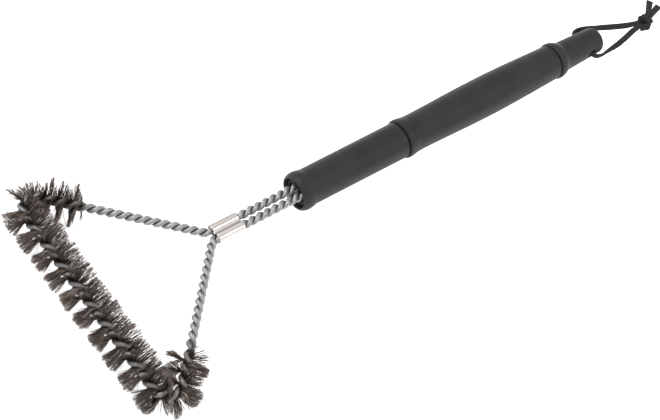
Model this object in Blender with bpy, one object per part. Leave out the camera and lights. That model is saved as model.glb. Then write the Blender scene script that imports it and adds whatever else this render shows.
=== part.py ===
"""Grill cleaning brush: a twisted-wire triangle head with bristles, on a round three-piece handle.

Metres, +Z up. +X runs from the bristle bar to the handle's end, +Y along the bar.
The brush lies flat, on its bristles, with the ground at z = 0 under its middle.
"""
import math

import bmesh
import bpy
import numpy as np
from mathutils import Matrix, Vector

MM = 0.001

# Where the bar's axis lies. The origin is the middle of the brush (without its lace), on the ground.
BAR_X = -211.75 * MM
AXIS_Z = 15.3 * MM

# Plan of the wire rope: a triangle, then two parallel runs through the ferrule into the handle.
CORNER_Y = 97.3 * MM
CORNER_RADIUS = 9.0 * MM
CORNER_SETBACK = 15.3 * MM
CORNER_CROWDING = 22.5 * MM
NECK_X = 90.4 * MM
NECK_RADIUS = 6.0 * MM
ROPE_Y = 3.72 * MM
ROPE_END_X = 188.0 * MM

# The rope: two thick wires, left-hand twist, slower where bristles are clamped between them.
WIRE_COUNT = 2
WIRE_RADIUS = 1.52 * MM
WIRE_SIDES = 8
BARE_LAY_RADIUS = 1.6 * MM
BRUSH_LAY_RADIUS = 1.93 * MM
LAY_BLEND = 4.0 * MM
BARE_PITCH = 12.2 * MM
BRUSH_PITCH = 16.72 * MM
BAR_HALF = 75.0 * MM
PITCH_BLEND = 6.0 * MM
BARE_RINGS_PER_TURN = 8
BRUSH_RINGS_PER_TURN = 12
LEVEL_BLADE_Y = 27.6 * MM

# Bristles, clamped between the two wires.
BRISTLE_REACH = 15.2 * MM
BRISTLE_ARM_X = 37.0 * MM
BLADE_CORE = (3.0 * MM, 0.15 * MM)
BLADE_TIP = (BRISTLE_REACH, 2.2 * MM)
BLADE_STEPS = 16
BLADE_GAP = 0.15 * MM
TIP_CLEARANCE = 0.4 * MM

# Ferrule
FERRULE_FRONT_X = 94.3 * MM
FERRULE_BACK_X = 114.7 * MM
FERRULE_RADIUS = 3.62 * MM
FERRULE_BORE = 3.22 * MM
FERRULE_WEB = 2.3 * MM

# Handle, turned about the X axis.
HANDLE_SIDES = 20
SOCKET_FRONT_X = 159.0 * MM
SOCKET_BACK_X = 190.0 * MM
SOCKET_RADIUS = 10.4 * MM
SOCKET_SLOT_RADIUS = 3.3 * MM
CORE_FRONT_X = 190.4 * MM
CORE_BACK_X = 400.0 * MM
CORE_RADIUS = 10.4 * MM
CORE_BORE = 8.4 * MM
SLEEVE_BORE = 10.75 * MM
SLEEVE_BACK_X = 248.6 * MM
GRIP_FRONT_X = 249.2 * MM
GRIP_BACK_X = 392.8 * MM
CAP_FRONT_X = 393.4 * MM
CAP_SOCKET_X = 400.4 * MM
HANDLE_END_X = 440.0 * MM
HOLE_X = 427.4 * MM
HOLE_RADIUS = 2.4 * MM

# Lace
LACE_RADIUS = 1.5 * MM
LACE_SPACING = 5.2 * MM
KNOT_CENTRE = (496.6, -1.0, -10.8)
KNOT_HALF_SIZE = (8.6, 5.6, 4.4)

CHARCOAL = (0.061, 0.058, 0.058)
LACE_BLACK = (0.030, 0.030, 0.030)
GALVANISED = (0.40, 0.40, 0.39)
NICKEL = (0.66, 0.61, 0.58)
BRISTLE_BROWN = (0.075, 0.060, 0.052)


def clear_scene():
    for old in list(bpy.data.objects):
        bpy.data.objects.remove(old, do_unlink=True)


def make_material(name, colour, roughness, metallic):
    material = bpy.data.materials.new(name)
    material.use_nodes = True
    shader = material.node_tree.nodes["Principled BSDF"]
    shader.inputs["Base Color"].default_value = (*colour, 1.0)
    shader.inputs["Roughness"].default_value = roughness
    shader.inputs["Metallic"].default_value = metallic
    return material


def plastic_material():
    return make_material("handle_plastic", CHARCOAL, 0.55, 0.0)


def wire_material():
    return make_material("galvanised_wire", GALVANISED, 0.42, 0.9)


def ferrule_material():
    return make_material("ferrule_metal", NICKEL, 0.25, 1.0)


def bristle_material():
    return make_material("bristle_wire", BRISTLE_BROWN, 0.5, 0.6)


def lace_material():
    return make_material("woven_lace", LACE_BLACK, 0.9, 0.0)


def make_empty(name, location, parent=None):
    empty = bpy.data.objects.new(name, None)
    empty.location = location
    empty.parent = parent
    bpy.context.collection.objects.link(empty)
    return empty


def add_object(name, data, material, parent):
    data.materials.clear()
    data.materials.append(material)
    piece = bpy.data.objects.new(name, data)
    piece.parent = parent
    bpy.context.collection.objects.link(piece)
    return piece


def finish_mesh(name, bm, smooth_angle=40.0):
    bmesh.ops.remove_doubles(bm, verts=bm.verts, dist=1e-7)
    bmesh.ops.recalc_face_normals(bm, faces=bm.faces)
    mesh = bpy.data.meshes.new(name)
    bm.to_mesh(mesh)
    bm.free()
    mesh.shade_smooth()
    mesh.set_sharp_from_angle(angle=math.radians(smooth_angle))
    return mesh


def turned_mesh(name, profile, closed):
    """Spin an (x, radius) profile about the X axis."""
    bm = bmesh.new()
    points = [bm.verts.new((x, 0.0, radius)) for x, radius in profile]
    edges = [bm.edges.new(pair) for pair in zip(points, points[1:])]
    if closed:
        edges.append(bm.edges.new((points[-1], points[0])))
    bmesh.ops.spin(
        bm, geom=points + edges, cent=(0, 0, 0), axis=(1, 0, 0),
        angle=math.tau, steps=HANDLE_SIDES, use_merge=True)
    return finish_mesh(name, bm)


def cylinder_mesh(name, radius, start, end, sides):
    """A closed cylinder between two points."""
    start = Vector(start)
    end = Vector(end)
    turn = (end - start).to_track_quat("Z", "Y").to_matrix().to_4x4()
    bm = bmesh.new()
    bmesh.ops.create_cone(
        bm, cap_ends=True, segments=sides, radius1=radius, radius2=radius,
        depth=(end - start).length, matrix=Matrix.Translation((start + end) / 2) @ turn)
    return finish_mesh(name, bm)


def box_mesh(name, low, high):
    bm = bmesh.new()
    bmesh.ops.create_cube(bm, size=1.0)
    size = [b - a for a, b in zip(low, high)]
    middle = [(a + b) / 2 for a, b in zip(low, high)]
    bmesh.ops.scale(bm, vec=size, verts=bm.verts)
    bmesh.ops.translate(bm, vec=middle, verts=bm.verts)
    return finish_mesh(name, bm)


def apply_boolean(piece, mesh, operation):
    """Join or cut a piece with a helper mesh, and drop the helper."""
    tool = bpy.data.objects.new(f"tool_{piece.name}", mesh)
    tool.parent = piece.parent
    bpy.context.collection.objects.link(tool)
    modifier = piece.modifiers.new("boolean", "BOOLEAN")
    modifier.operation = operation
    modifier.solver = "EXACT"
    modifier.object = tool
    bpy.context.view_layer.update()
    depsgraph = bpy.context.evaluated_depsgraph_get()
    result = bpy.data.meshes.new_from_object(piece.evaluated_get(depsgraph))
    piece.modifiers.clear()
    piece.data = result
    bpy.data.objects.remove(tool, do_unlink=True)


class RopeRoute:
    """The rope's plan: straight runs joined by arcs, measured along its length."""

    def __init__(self):
        corners = (
            (ROPE_END_X, ROPE_Y, 0.0), (NECK_X, ROPE_Y, NECK_RADIUS), (0.0, CORNER_Y, CORNER_RADIUS),
            (0.0, -CORNER_Y, CORNER_RADIUS), (NECK_X, -ROPE_Y, NECK_RADIUS), (ROPE_END_X, -ROPE_Y, 0.0))
        self.parts = []
        position = Vector(corners[0][:2])
        for before, here, after in zip(corners, corners[1:], corners[2:]):
            corner = Vector(here[:2])
            inward = (corner - Vector(before[:2])).normalized()
            outward = (Vector(after[:2]) - corner).normalized()
            turn = math.atan2(inward.cross(outward), inward.dot(outward))
            setback = here[2] * math.tan(abs(turn) / 2)
            arc_start = corner - inward * setback
            self.parts.append(("line", position, inward, (arc_start - position).length, 0.0))
            radius = math.copysign(here[2], turn)
            self.parts.append(("arc", arc_start, inward, here[2] * abs(turn), radius))
            position = corner + outward * setback
        last = Vector(corners[-1][:2])
        self.parts.append(("line", position, (last - position).normalized(), (last - position).length, 0.0))
        self.length = sum(part[3] for part in self.parts)
        self.bar_start = sum(part[3] for part in self.parts[:4])
        self.bar_end = self.bar_start + self.parts[4][3]
        self._set_twist()

    def at(self, distance):
        """Point and unit direction in plan, at a distance along the rope."""
        distance = min(max(distance, 0.0), self.length)
        for kind, start, direction, length, radius in self.parts:
            if distance <= length + 1e-9:
                break
            distance -= length
        if kind == "line":
            return start + direction * distance, direction
        angle = distance / radius
        side = Vector((-direction.y, direction.x))
        point = start + direction * radius * math.sin(angle) + side * radius * (1 - math.cos(angle))
        heading = direction * math.cos(angle) + side * math.sin(angle)
        return point, heading

    def brush_span(self):
        """Distances along the rope between which bristles are clamped."""
        slope = (CORNER_Y - ROPE_Y) / NECK_X
        arm = (BRISTLE_ARM_X - CORNER_SETBACK) * math.hypot(1.0, slope)
        arc = self.parts[3][3]
        return self.bar_start - arc - arm, self.bar_end + arc + arm

    def _set_twist(self):
        """Tabulate the blade's angle, level where the bar crosses LEVEL_BLADE_Y."""
        self.table = np.linspace(0.0, self.length, 4001)
        low, high = self.brush_span()
        inside = np.minimum(self.table - low, high - self.table)
        share = np.clip(inside / PITCH_BLEND + 0.5, 0.0, 1.0)
        rate = math.tau / BARE_PITCH * (1 - share) + math.tau / BRUSH_PITCH * share
        steps = np.diff(self.table) * (rate[1:] + rate[:-1]) / 2
        angle = -np.concatenate(([0.0], np.cumsum(steps)))
        level = self.bar_start + (BAR_HALF - LEVEL_BLADE_Y)
        self.angles = angle - np.interp(level, self.table, angle)

    def twist(self, distance):
        return float(np.interp(distance, self.table, self.angles))

    def distance_at_twist(self, angle):
        return float(np.interp(-angle, -self.angles, self.table))

    def frame(self, distance):
        """Centre, inward normal and up, in 3-D."""
        point, heading = self.at(distance)
        return Vector((point.x, point.y, 0.0)), Vector((-heading.y, heading.x, 0.0)), Vector((0, 0, 1))

    def inner_limit(self, distance):
        """How far inward a bristle may reach before it meets the other side of its corner."""
        point, heading = self.at(distance)
        half_angle = math.atan2(NECK_X, CORNER_Y - ROPE_Y) / 2
        apex = Vector((0.0, math.copysign(CORNER_Y, point.y)))
        along = (point - apex).length
        on_corner = self.bar_start - CORNER_CROWDING < distance < self.bar_end + CORNER_CROWDING
        if on_corner and not self.bar_start <= distance <= self.bar_end:
            return CORNER_RADIUS - TIP_CLEARANCE
        return max(along * math.tan(half_angle), CORNER_RADIUS) - TIP_CLEARANCE


def wire_stations(route):
    """Distances of the wire's rings: closer together where bristles spread the wires."""
    low, high = route.brush_span()
    stations = []
    spans = (
        (0.0, low, BARE_RINGS_PER_TURN), (low, high, BRUSH_RINGS_PER_TURN),
        (high, route.length, BARE_RINGS_PER_TURN))
    for start, end, per_turn in spans:
        turns = abs(route.twist(end) - route.twist(start)) / math.tau
        count = max(1, round(turns * per_turn))
        angles = np.linspace(route.twist(start), route.twist(end), count + 1)
        stations += [route.distance_at_twist(a) for a in angles[:-1]]
    stations.append(route.length)
    return stations


def lay_radius(route, distance):
    low, high = route.brush_span()
    share = min(1.0, max(0.0, min(distance - low, high - distance) / LAY_BLEND + 1.0))
    return BARE_LAY_RADIUS + (BRUSH_LAY_RADIUS - BARE_LAY_RADIUS) * share


def wire_centre(route, distance, strand):
    centre, inward, up = route.frame(distance)
    angle = route.twist(distance) + math.tau * (strand + 0.5) / WIRE_COUNT
    outward = inward * math.cos(angle) + up * math.sin(angle)
    return centre + outward * lay_radius(route, distance), outward


def loft(name, rings):
    """Skin a list of rings of equal size, with flat ends."""
    bm = bmesh.new()
    loops = [[bm.verts.new(point) for point in ring] for ring in rings]
    sides = len(loops[0])
    for here, there in zip(loops, loops[1:]):
        for j in range(sides):
            k = (j + 1) % sides
            bm.faces.new((here[j], here[k], there[k], there[j]))
    bm.faces.new(list(reversed(loops[0])))
    bm.faces.new(loops[-1])
    return finish_mesh(name, bm, smooth_angle=70.0)


def wire_mesh(name, route, strand):
    stations = wire_stations(route)
    spots = [wire_centre(route, s, strand) for s in stations]
    rings = []
    for i, (centre, outward) in enumerate(spots):
        before = spots[max(i - 1, 0)][0]
        after = spots[min(i + 1, len(spots) - 1)][0]
        along = (after - before).normalized()
        side = along.cross(outward).normalized()
        top = side.cross(along).normalized()
        angles = [math.tau * j / WIRE_SIDES for j in range(WIRE_SIDES)]
        rings.append([centre + (top * math.cos(a) + side * math.sin(a)) * WIRE_RADIUS for a in angles])
    return loft(name, rings)


def blade_section(route, distance):
    """Outline of the bristle blade across the rope: thin between the wires, wide at both tips."""
    centre, inward, up = route.frame(distance)
    angle = route.twist(distance)
    limit = route.inner_limit(distance)
    half = [BLADE_CORE, BLADE_TIP]
    widths = [(-r, w) for r, w in reversed(half)] + [(0.0, BLADE_CORE[1])] + half
    lower = [(r, -w) for r, w in widths]
    upper = [(r, w) for r, w in reversed(widths)]
    ring = []
    for reach, offset in lower + upper:
        level = reach * math.cos(angle) - offset * math.sin(angle)
        height = reach * math.sin(angle) + offset * math.cos(angle)
        ring.append(centre + inward * min(level, limit) + up * height)
    return ring


def blade_mesh(name, route, start, end):
    """One turn of the bristle spiral, skinned with matching diagonals on both faces."""
    stations = np.linspace(start, end, BLADE_STEPS + 1)
    bm = bmesh.new()
    loops = [[bm.verts.new(point) for point in blade_section(route, float(s))] for s in stations]
    sides = len(loops[0])
    for here, there in zip(loops, loops[1:]):
        for j in range(sides):
            k = (j + 1) % sides
            if j < sides // 2:
                bm.faces.new((here[j], here[k], there[k]))
                bm.faces.new((here[j], there[k], there[j]))
            else:
                bm.faces.new((here[j], here[k], there[j]))
                bm.faces.new((here[k], there[k], there[j]))
    bm.faces.new(list(reversed(loops[0])))
    bm.faces.new(loops[-1])
    return finish_mesh(name, bm)


def build_wires(route, parent):
    material = wire_material()
    for strand in range(WIRE_COUNT):
        name = f"frame_wire_{strand + 1}"
        add_object(name, wire_mesh(name, route, strand), material, parent)


def build_bristles(route, parent):
    """One solid for each turn, from upright blade to upright blade."""
    material = bristle_material()
    low, high = route.brush_span()
    first = math.floor((route.twist(low) - math.pi / 2) / math.tau)
    last = math.ceil((route.twist(high) - math.pi / 2) / math.tau)
    turns = range(first, last, -1)
    for number, turn in enumerate(turns, start=1):
        start = route.distance_at_twist(math.tau * turn + math.pi / 2)
        end = route.distance_at_twist(math.tau * (turn - 1) + math.pi / 2)
        name = f"bristle_fan_{number:02d}"
        add_object(name, blade_mesh(name, route, start + BLADE_GAP, end - BLADE_GAP), material, parent)


def build_ferrule(parent):
    front, back = FERRULE_FRONT_X, FERRULE_BACK_X

    def barrel(y, radius, overrun=0.0):
        return cylinder_mesh("barrel", radius, (front - overrun, y, 0), (back + overrun, y, 0), 16)

    ferrule = add_object("crimp_ferrule", barrel(ROPE_Y, FERRULE_RADIUS), ferrule_material(), parent)
    apply_boolean(ferrule, barrel(-ROPE_Y, FERRULE_RADIUS), "UNION")
    web = box_mesh("web", (front, -ROPE_Y, -FERRULE_WEB), (back, ROPE_Y, FERRULE_WEB))
    apply_boolean(ferrule, web, "UNION")
    for y in (ROPE_Y, -ROPE_Y):
        apply_boolean(ferrule, barrel(y, FERRULE_BORE, 2 * MM), "DIFFERENCE")


def build_socket(material, parent):
    """The plug in the handle's mouth, with an oval opening for the two rope ends."""
    front, back = SOCKET_FRONT_X, SOCKET_BACK_X
    profile = (
        (front, 0.0), (front, SOCKET_RADIUS - 1.2 * MM), (front + 0.8 * MM, SOCKET_RADIUS),
        (back, SOCKET_RADIUS), (back, 0.0))
    mesh = turned_mesh("handle_wire_socket", profile, closed=False)
    socket = add_object("handle_wire_socket", mesh, material, parent)
    radius = SOCKET_SLOT_RADIUS
    start, end = front - 2 * MM, back + 2 * MM
    apply_boolean(socket, box_mesh("slot", (start, -ROPE_Y, -radius), (end, ROPE_Y, radius)), "DIFFERENCE")
    for y in (ROPE_Y, -ROPE_Y):
        bore = cylinder_mesh("bore", radius, (start, y, 0), (end, y, 0), 12)
        apply_boolean(socket, bore, "DIFFERENCE")


def build_core(material, parent):
    profile = (
        (CORE_FRONT_X, CORE_BORE), (CORE_FRONT_X, CORE_RADIUS),
        (CORE_BACK_X, CORE_RADIUS), (CORE_BACK_X, CORE_BORE))
    add_object("handle_core", turned_mesh("handle_core", profile, closed=True), material, parent)


def build_front_sleeve(material, parent):
    """Rounded bead at the mouth, then a nearly straight tube."""
    profile = [(x * MM, r * MM) for x, r in (
        (158.6, 10.75), (158.4, 11.3), (159.3, 12.6), (161.2, 13.5), (163.8, 13.8),
        (166.6, 13.4), (169.2, 12.75), (210.0, 12.85))]
    profile += [
        (SLEEVE_BACK_X - 0.5 * MM, 13.0 * MM), (SLEEVE_BACK_X, 12.6 * MM), (SLEEVE_BACK_X, SLEEVE_BORE)]
    add_object("handle_front_sleeve", turned_mesh("handle_front_sleeve", profile, True), material, parent)


def build_grip(material, parent):
    """Raised ring, then a grip that swells in the middle."""
    profile = [(GRIP_FRONT_X, SLEEVE_BORE), (GRIP_FRONT_X, 13.5 * MM)]
    profile += [(x * MM, r * MM) for x, r in ((249.8, 14.1), (252.5, 14.25), (256.0, 13.9), (260.5, 13.15))]
    start, end = 270.0 * MM, GRIP_BACK_X - 0.4 * MM
    for i in range(9):
        share = i / 8
        x = start + (end - start) * share
        swell = math.sin(math.pi * (share * 0.86 + 0.07)) ** 1.6
        radius = (13.1 * (1 - share) + 12.7 * share) * MM + 1.45 * MM * swell
        profile.append((x, radius))
    profile += [(GRIP_BACK_X, 12.5 * MM), (GRIP_BACK_X, SLEEVE_BORE)]
    add_object("handle_grip", turned_mesh("handle_grip", profile, closed=True), material, parent)


def build_end_cap(material, parent):
    """Raised ring, then a tapered end with a hole across it for the lace."""
    profile = [(CAP_SOCKET_X, 0.0), (CAP_SOCKET_X, SLEEVE_BORE), (CAP_FRONT_X, SLEEVE_BORE)]
    profile += [(x * MM, r * MM) for x, r in (
        (393.4, 12.9), (394.0, 13.5), (396.8, 13.7), (400.5, 13.2), (404.0, 11.9), (407.0, 10.95),
        (418.0, 10.45), (430.0, 10.0), (437.2, 9.8))]
    fillet = 2.6 * MM
    centre_x, centre_r = HANDLE_END_X - fillet, 9.8 * MM - fillet
    profile += [
        (centre_x + fillet * math.sin(a), centre_r + fillet * math.cos(a))
        for a in (math.radians(d) for d in (30, 60, 90))]
    profile.append((HANDLE_END_X, 0.0))
    mesh = turned_mesh("handle_end_cap", profile, closed=False)
    cap = add_object("handle_end_cap", mesh, material, parent)
    reach = 16 * MM
    hole = cylinder_mesh("hole", HOLE_RADIUS, (HOLE_X, -reach, 0), (HOLE_X, reach, 0), 12)
    apply_boolean(cap, hole, "DIFFERENCE")


def smooth_route(points, spacing):
    """Points at even spacing on a Catmull-Rom curve through the route's own points."""
    points = [Vector(p) * MM for p in points]
    ends = [points[0] * 2 - points[1]] + points + [points[-1] * 2 - points[-2]]
    fine = []
    for a, b, c, d in zip(ends, ends[1:], ends[2:], ends[3:]):
        for i in range(24):
            t = i / 24
            fine.append(0.5 * (2 * b + (c - a) * t + (2 * a - 5 * b + 4 * c - d) * t * t
                               + (3 * b - a - 3 * c + d) * t ** 3))
    fine.append(points[-1])
    lengths = np.concatenate(([0.0], np.cumsum([(q - p).length for p, q in zip(fine, fine[1:])])))
    count = max(2, round(float(lengths[-1]) / spacing))
    table = np.array([tuple(p) for p in fine])
    wanted = np.linspace(0.0, lengths[-1], count + 1)
    return [Vector([float(np.interp(s, lengths, table[:, axis])) for axis in range(3)]) for s in wanted]


LACE_ROUTES = {
    "lace_leg_left": (
        (427.4, 0.2, 0.0), (427.4, 3.6, 0.0), (427.4, 7.2, 0.0), (427.5, 10.6, 0.0), (429.3, 13.1, -0.3),
        (433.0, 13.9, -0.8), (438.5, 13.7, -1.6), (446.0, 12.1, -3.0), (453.0, 10.1, -4.3), (460.0, 8.3, -5.7),
        (467.0, 6.5, -7.1), (474.0, 4.7, -8.3), (480.0, 3.2, -9.2), (484.0, 2.4, -9.6), (487.4, 1.8, -9.9)),
    "lace_leg_right": (
        (427.4, -0.2, 0.0), (427.4, -3.6, 0.0), (427.4, -7.2, 0.0), (427.5, -10.6, 0.0), (429.2, -12.9, -0.5),
        (433.0, -13.5, -1.5), (438.5, -12.8, -2.9), (446.0, -11.3, -4.5), (453.0, -10.1, -5.8),
        (460.0, -8.7, -7.0), (467.0, -7.0, -8.1), (474.0, -5.2, -9.0), (480.0, -3.6, -9.6),
        (484.0, -2.8, -9.9), (487.4, -2.2, -10.1)),
}


def hole_offset(point):
    """From the bar's frame to the frame of the lace hole."""
    return Vector(point) - Vector((HOLE_X, 0.0, 0.0))


def build_lace_leg(name, material, parent):
    curve = bpy.data.curves.new(name, "CURVE")
    curve.dimensions = "3D"
    curve.bevel_depth = LACE_RADIUS
    curve.bevel_resolution = 2
    curve.use_fill_caps = True
    points = [hole_offset(p) for p in smooth_route(LACE_ROUTES[name], LACE_SPACING)]
    spline = curve.splines.new("POLY")
    spline.points.add(len(points) - 1)
    for target, point in zip(spline.points, points):
        target.co = (*point, 1.0)
    add_object(name, curve, material, parent)


def build_knot(material, parent):
    bm = bmesh.new()
    bmesh.ops.create_icosphere(bm, subdivisions=2, radius=1.0)
    bmesh.ops.scale(bm, vec=[h * MM for h in KNOT_HALF_SIZE], verts=bm.verts)
    centre = hole_offset([c * MM for c in KNOT_CENTRE])
    bmesh.ops.translate(bm, vec=centre, verts=bm.verts)
    add_object("lace_knot", finish_mesh("lace_knot", bm), material, parent)


def build_lace_tail(name, start, end, material, parent):
    """A short flat end of lace, flaring towards its cut."""
    start = Vector(start) * MM
    end = Vector(end) * MM
    along = (end - start).normalized()
    side = Vector((-along.y, along.x, 0.0)).normalized()
    rings = []
    for share, half_width in ((0.0, 1.5), (0.35, 1.8), (0.7, 2.3), (1.0, 2.9)):
        centre = hole_offset(start.lerp(end, share))
        across = side * half_width * MM
        thick = Vector((0, 0, 0.8 * MM))
        rings.append([centre - across - thick, centre + across - thick,
                      centre + across + thick, centre - across + thick])
    add_object(name, loft(name, rings), material, parent)


def main():
    clear_scene()
    brush = make_empty("brush_frame", (BAR_X, 0.0, AXIS_Z))
    loop = make_empty("loop_axis", (HOLE_X, 0.0, 0.0), brush)
    route = RopeRoute()
    build_wires(route, brush)
    build_bristles(route, brush)
    build_ferrule(brush)
    plastic = plastic_material()
    build_socket(plastic, brush)
    build_core(plastic, brush)
    build_front_sleeve(plastic, brush)
    build_grip(plastic, brush)
    build_end_cap(plastic, brush)
    lace = lace_material()
    for name in LACE_ROUTES:
        build_lace_leg(name, lace, loop)
    build_knot(lace, loop)
    build_lace_tail("lace_tail_left", (504.4, 3.6, -11.8), (520.6, 15.8, -14.4), lace, loop)
    build_lace_tail("lace_tail_right", (506.4, 0.8, -11.8), (523.4, 8.2, -14.4), lace, loop)


main()
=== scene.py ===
"""Grill cleaning brush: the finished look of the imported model.

Metres, in the model's own frame. Lengths below are measured from ORIGIN, which lies on the
bristle bar's axis: +X runs to the handle's end, +Y along the bar, +Z up from the axis.
"""

import math

import bmesh
import bpy
import numpy as np
from mathutils import Matrix, Vector


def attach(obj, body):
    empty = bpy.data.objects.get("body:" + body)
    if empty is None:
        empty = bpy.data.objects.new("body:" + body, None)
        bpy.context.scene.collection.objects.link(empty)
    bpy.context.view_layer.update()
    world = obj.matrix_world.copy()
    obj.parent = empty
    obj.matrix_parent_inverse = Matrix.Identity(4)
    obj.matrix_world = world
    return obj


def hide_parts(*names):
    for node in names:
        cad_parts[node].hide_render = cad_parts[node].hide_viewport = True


MM = 0.001
ORIGIN = np.array((-211.75, 0.0, 15.3)) * MM
UP = np.array((0.0, 0.0, 1.0))

# Camera, as the photograph was taken.
CAMERA_PLACE = (-280.97, -422.74, 787.98)
CAMERA_RIGHT = (0.787744, -0.597720, 0.148962)
CAMERA_UP = (0.414583, 0.693290, 0.589466)
CAMERA_LENS = 82.24

# Wire rope. Corners in millimetres: x, y and the radius of the bend.
BARREL_Y = 3.72
ROPE_CORNERS = (
    (188.0, BARREL_Y, 0.0), (90.4, BARREL_Y, 6.0), (0.0, 97.3, 9.0),
    (0.0, -97.3, 9.0), (90.4, -BARREL_Y, 6.0), (188.0, -BARREL_Y, 0.0))
BARE_PITCH = 12.2 * MM
BRUSH_PITCH = 16.72 * MM
BAR_HALF = 75.0 * MM
PITCH_BLEND = 6.0 * MM
LEVEL_BLADE_Y = 27.6 * MM
WIRE_RADIUS = 1.63 * MM
BARE_LAY = 1.66 * MM
BRUSH_LAY = 1.93 * MM
CRIMPED_LAY = 1.54 * MM
CRIMP = (93.4 * MM, 115.6 * MM)
LAY_BLEND = 5.0 * MM
WIRE_SIDES = 20
WIRE_STEP = 0.6 * MM

# Bristles
BRISTLE_REACH = 15.3 * MM
BRISTLE_RADIUS = 0.14 * MM
BRISTLE_ARM_X = 37.0
BRISTLES_PER_MM = 17.0
STRAND_SIDES = 3
STRAY_SHARE = 0.06
CLUMPS_PER_TURN = 12
# The lowest a bristle bends to, just clear of the floor.
TIP_FLOOR = -15.1 * MM
CORNER_ZONE = 14.0 * MM
CORNER_Y = 97.3 * MM
NECK_X = 90.4 * MM
CORNER_RADIUS = 9.0 * MM

# Handle
HANDLE_SIDES = 144
SLOT_SIDES = 72
HOLE_SIDES = 48
EDGE_ANGLE = 38
BORE = 10.75
HOLE_X = 427.4

# Lace
LACE_WIDTH = 3.9 * MM
LACE_THICKNESS = 1.6 * MM
TWILL = 1.6 * MM
BAND_SIDES = 36
BAND_STEP = 0.28 * MM
KNOT_STEP = 0.3
FLOOR_CONTACT = 0.05 * MM


# ---------------------------------------------------------------- helpers

def place(points):
    """From millimetres about ORIGIN to the model's frame."""
    return np.asarray(points, float) * MM + ORIGIN


def unit(vectors):
    return vectors / np.linalg.norm(vectors, axis=-1, keepdims=True)


def smooth_curve(points, per_span):
    """A Catmull-Rom curve through the points, as an array."""
    points = np.asarray(points, float)
    ends = np.vstack((2 * points[0] - points[1], points, 2 * points[-1] - points[-2]))
    t = (np.arange(per_span) / per_span)[:, None]
    out = []
    for a, b, c, d in zip(ends, ends[1:], ends[2:], ends[3:]):
        out.append(0.5 * (2 * b + (c - a) * t + (2 * a - 5 * b + 4 * c - d) * t ** 2
                          + (3 * b - a - 3 * c + d) * t ** 3))
    return np.vstack(out + [points[-1:]])


def lengths_along(points):
    return np.concatenate(([0.0], np.cumsum(np.linalg.norm(np.diff(points, axis=0), axis=1))))


def even(points, step):
    """The same line, with its points evenly spaced; a column past the third goes along."""
    s = lengths_along(points[:, :3])
    wanted = np.linspace(0.0, s[-1], max(2, round(s[-1] / step)) + 1)
    return np.column_stack([np.interp(wanted, s, points[:, k]) for k in range(points.shape[1])])


def make_piece(name, points, faces, material, sharp=None):
    mesh = bpy.data.meshes.new(name)
    mesh.from_pydata(np.asarray(points).tolist(), [], faces)
    mesh.validate()
    mesh.materials.append(material)
    mesh.shade_smooth()
    if sharp is not None:
        mesh.set_sharp_from_angle(angle=math.radians(sharp))
    piece = bpy.data.objects.new(name, mesh)
    bpy.context.collection.objects.link(piece)
    return piece


def add_attribute(piece, name, values):
    attribute = piece.data.attributes.new(name, "FLOAT", "POINT")
    attribute.data.foreach_set("value", np.asarray(values, np.float32))


def ring_faces(rings, sides, closed_ends=True):
    """Faces that skin consecutive rings of equal size."""
    faces = []
    for i in range(rings - 1):
        a, b = i * sides, (i + 1) * sides
        for j in range(sides):
            k = (j + 1) % sides
            faces.append((a + j, a + k, b + k, b + j))
    if closed_ends:
        faces.append(tuple(range(sides - 1, -1, -1)))
        faces.append(tuple(range((rings - 1) * sides, rings * sides)))
    return faces


# ---------------------------------------------------------------- materials

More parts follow.
